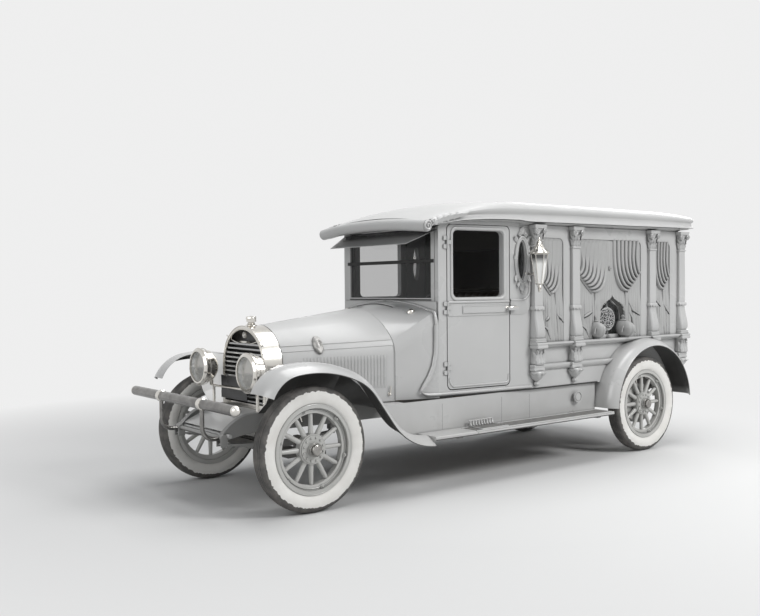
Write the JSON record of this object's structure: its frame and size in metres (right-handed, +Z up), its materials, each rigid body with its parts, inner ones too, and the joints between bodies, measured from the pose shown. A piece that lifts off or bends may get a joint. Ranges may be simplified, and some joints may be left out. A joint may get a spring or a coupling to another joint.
{
  "type": "motor hearse",
  "caption": "Carved-panel motor hearse with a closed cab, spoked wheels, opening doors, hood halves and rear door, and linked steering.",
  "frame": {"origin": "on the ground, under the middle of the vehicle's length and width", "axes": "+X forward, +Y to the vehicle's left, +Z up"},
  "size_m": [5.008, 1.8, 2.1948],
  "materials": {
    "body_grey": "gloss",
    "panel_grey": "gloss",
    "roof_grey": "gloss",
    "nickel": "polished",
    "black_metal": "satin",
    "chassis_black": "satin",
    "steel_grey": "satin",
    "spring_steel": "satin",
    "tyre": "matte",
    "wheel_wood": "gloss",
    "glass": "clear",
    "leather_black": "satin",
    "seat_wood": "satin",
    "floor_wood": "satin",
    "wheel_rim_black": "gloss"
  },
  "bodies": {
    "body": {"chassis_frame": "chassis_black", "front_axle": "chassis_black", "rear_axle": "chassis_black", "leaf_springs": "spring_steel", "engine": "steel_grey", "exhaust": "steel_grey", "fuel_tank": "chassis_black", "radiator_shell": "nickel", "radiator_shutters": "black_metal", "splash_pan": "body_grey", "bumper": "nickel", "headlamps": "body_grey", "headlamp_rims": "nickel", "headlamp_glasses": "glass", "coach_lamps": "nickel", "front_fenders": "body_grey", "rear_fenders": "body_grey", "running_boards": "body_grey", "cowl": "body_grey", "windscreen_frame": "body_grey", "window_glass": "glass", "body_side_left": "body_grey", "body_side_right": "body_grey", "body_rear": "body_grey", "floor": "floor_wood", "partition": "floor_wood", "roof": "roof_grey", "sun_visor": "body_grey", "side_mouldings": "panel_grey", "columns": "panel_grey", "carved_panels": "panel_grey", "seat_base": "seat_wood", "seat_cushion": "leather_black", "seat_back": "leather_black", "steering_column": "black_metal"},
    "steering_wheel": {"steering_wheel": "wheel_rim_black"},
    "knuckle_left": {"knuckle_left": "chassis_black"},
    "knuckle_right": {"knuckle_right": "chassis_black"},
    "tie_rod": {"tie_rod": "chassis_black"},
    "wheel_front_left": {"wheel_front_left": "wheel_wood", "tyre_front_left": "tyre"},
    "wheel_front_right": {"wheel_front_right": "wheel_wood", "tyre_front_right": "tyre"},
    "wheel_rear_left": {"wheel_rear_left": "wheel_wood", "tyre_rear_left": "tyre"},
    "wheel_rear_right": {"wheel_rear_right": "wheel_wood", "tyre_rear_right": "tyre"},
    "door_left": {"door_left": "body_grey"},
    "door_right": {"door_right": "body_grey"},
    "rear_door": {"rear_door": "body_grey", "rear_door_glass": "glass"},
    "hood_left": {"hood_left": "roof_grey"},
    "hood_right": {"hood_right": "roof_grey"}
  },
  "joints": [
    {"name": "steering_wheel", "type": "hinge", "parent": "body", "child": "steering_wheel", "pos_m": [0.316, 0.325, 1.25], "axis": [-0.8517, 0, 0.524], "range_deg": [-432, 432]},
    {"name": "steer_left", "type": "hinge", "parent": "body", "child": "knuckle_left", "pos_m": [1.876, 0.606, 0.4225], "axis": [0, 0, 1], "range_deg": [-27, 27]},
    {"name": "steer_right", "type": "hinge", "parent": "body", "child": "knuckle_right", "pos_m": [1.876, -0.606, 0.4225], "axis": [0, 0, 1], "range_deg": [-27, 27]},
    {"name": "tie_rod", "type": "hinge", "parent": "knuckle_left", "child": "tie_rod", "pos_m": [1.706, 0.606, 0.352], "axis": [0, 0, 1], "range_deg": [-27, 27]},
    {"name": "spin_front_left", "type": "hinge", "parent": "knuckle_left", "child": "wheel_front_left", "pos_m": [1.876, 0.711, 0.4225], "axis": [0, 1, 0], "continuous": true},
    {"name": "spin_front_right", "type": "hinge", "parent": "knuckle_right", "child": "wheel_front_right", "pos_m": [1.876, -0.711, 0.4225], "axis": [0, 1, 0], "continuous": true},
    {"name": "spin_rear_left", "type": "hinge", "parent": "body", "child": "wheel_rear_left", "pos_m": [-1.731, 0.711, 0.4225], "axis": [0, 1, 0], "continuous": true},
    {"name": "spin_rear_right", "type": "hinge", "parent": "body", "child": "wheel_rear_right", "pos_m": [-1.731, -0.711, 0.4225], "axis": [0, 1, 0], "continuous": true},
    {"name": "door_left", "type": "hinge", "parent": "body", "child": "door_left", "pos_m": [0.54602, 0.61896, 1.35], "axis": [0, 0, -1], "range_deg": [0, 70]},
    {"name": "door_right", "type": "hinge", "parent": "body", "child": "door_right", "pos_m": [0.54602, -0.61896, 1.35], "axis": [0, 0, 1], "range_deg": [0, 70]},
    {"name": "rear_door", "type": "hinge", "parent": "body", "child": "rear_door", "pos_m": [-2.372, 0.526, 1.36], "axis": [0, 0, -1], "range_deg": [0, 100]},
    {"name": "hood_left", "type": "hinge", "parent": "body", "child": "hood_left", "pos_m": [0.976, 0, 1.325], "axis": [0.9926, 0, -0.1214], "range_deg": [0, 50]},
    {"name": "hood_right", "type": "hinge", "parent": "body", "child": "hood_right", "pos_m": [0.976, 0, 1.325], "axis": [-0.9926, 0, 0.1214], "range_deg": [0, 50]}
  ],
  "couplings": [
    {"joint": "steer_left", "follows": "steering_wheel", "ratio": 0.0625},
    {"joint": "steer_right", "follows": "steering_wheel", "ratio": 0.0625},
    {"joint": "tie_rod", "follows": "steering_wheel", "ratio": -0.0625}
  ]
}
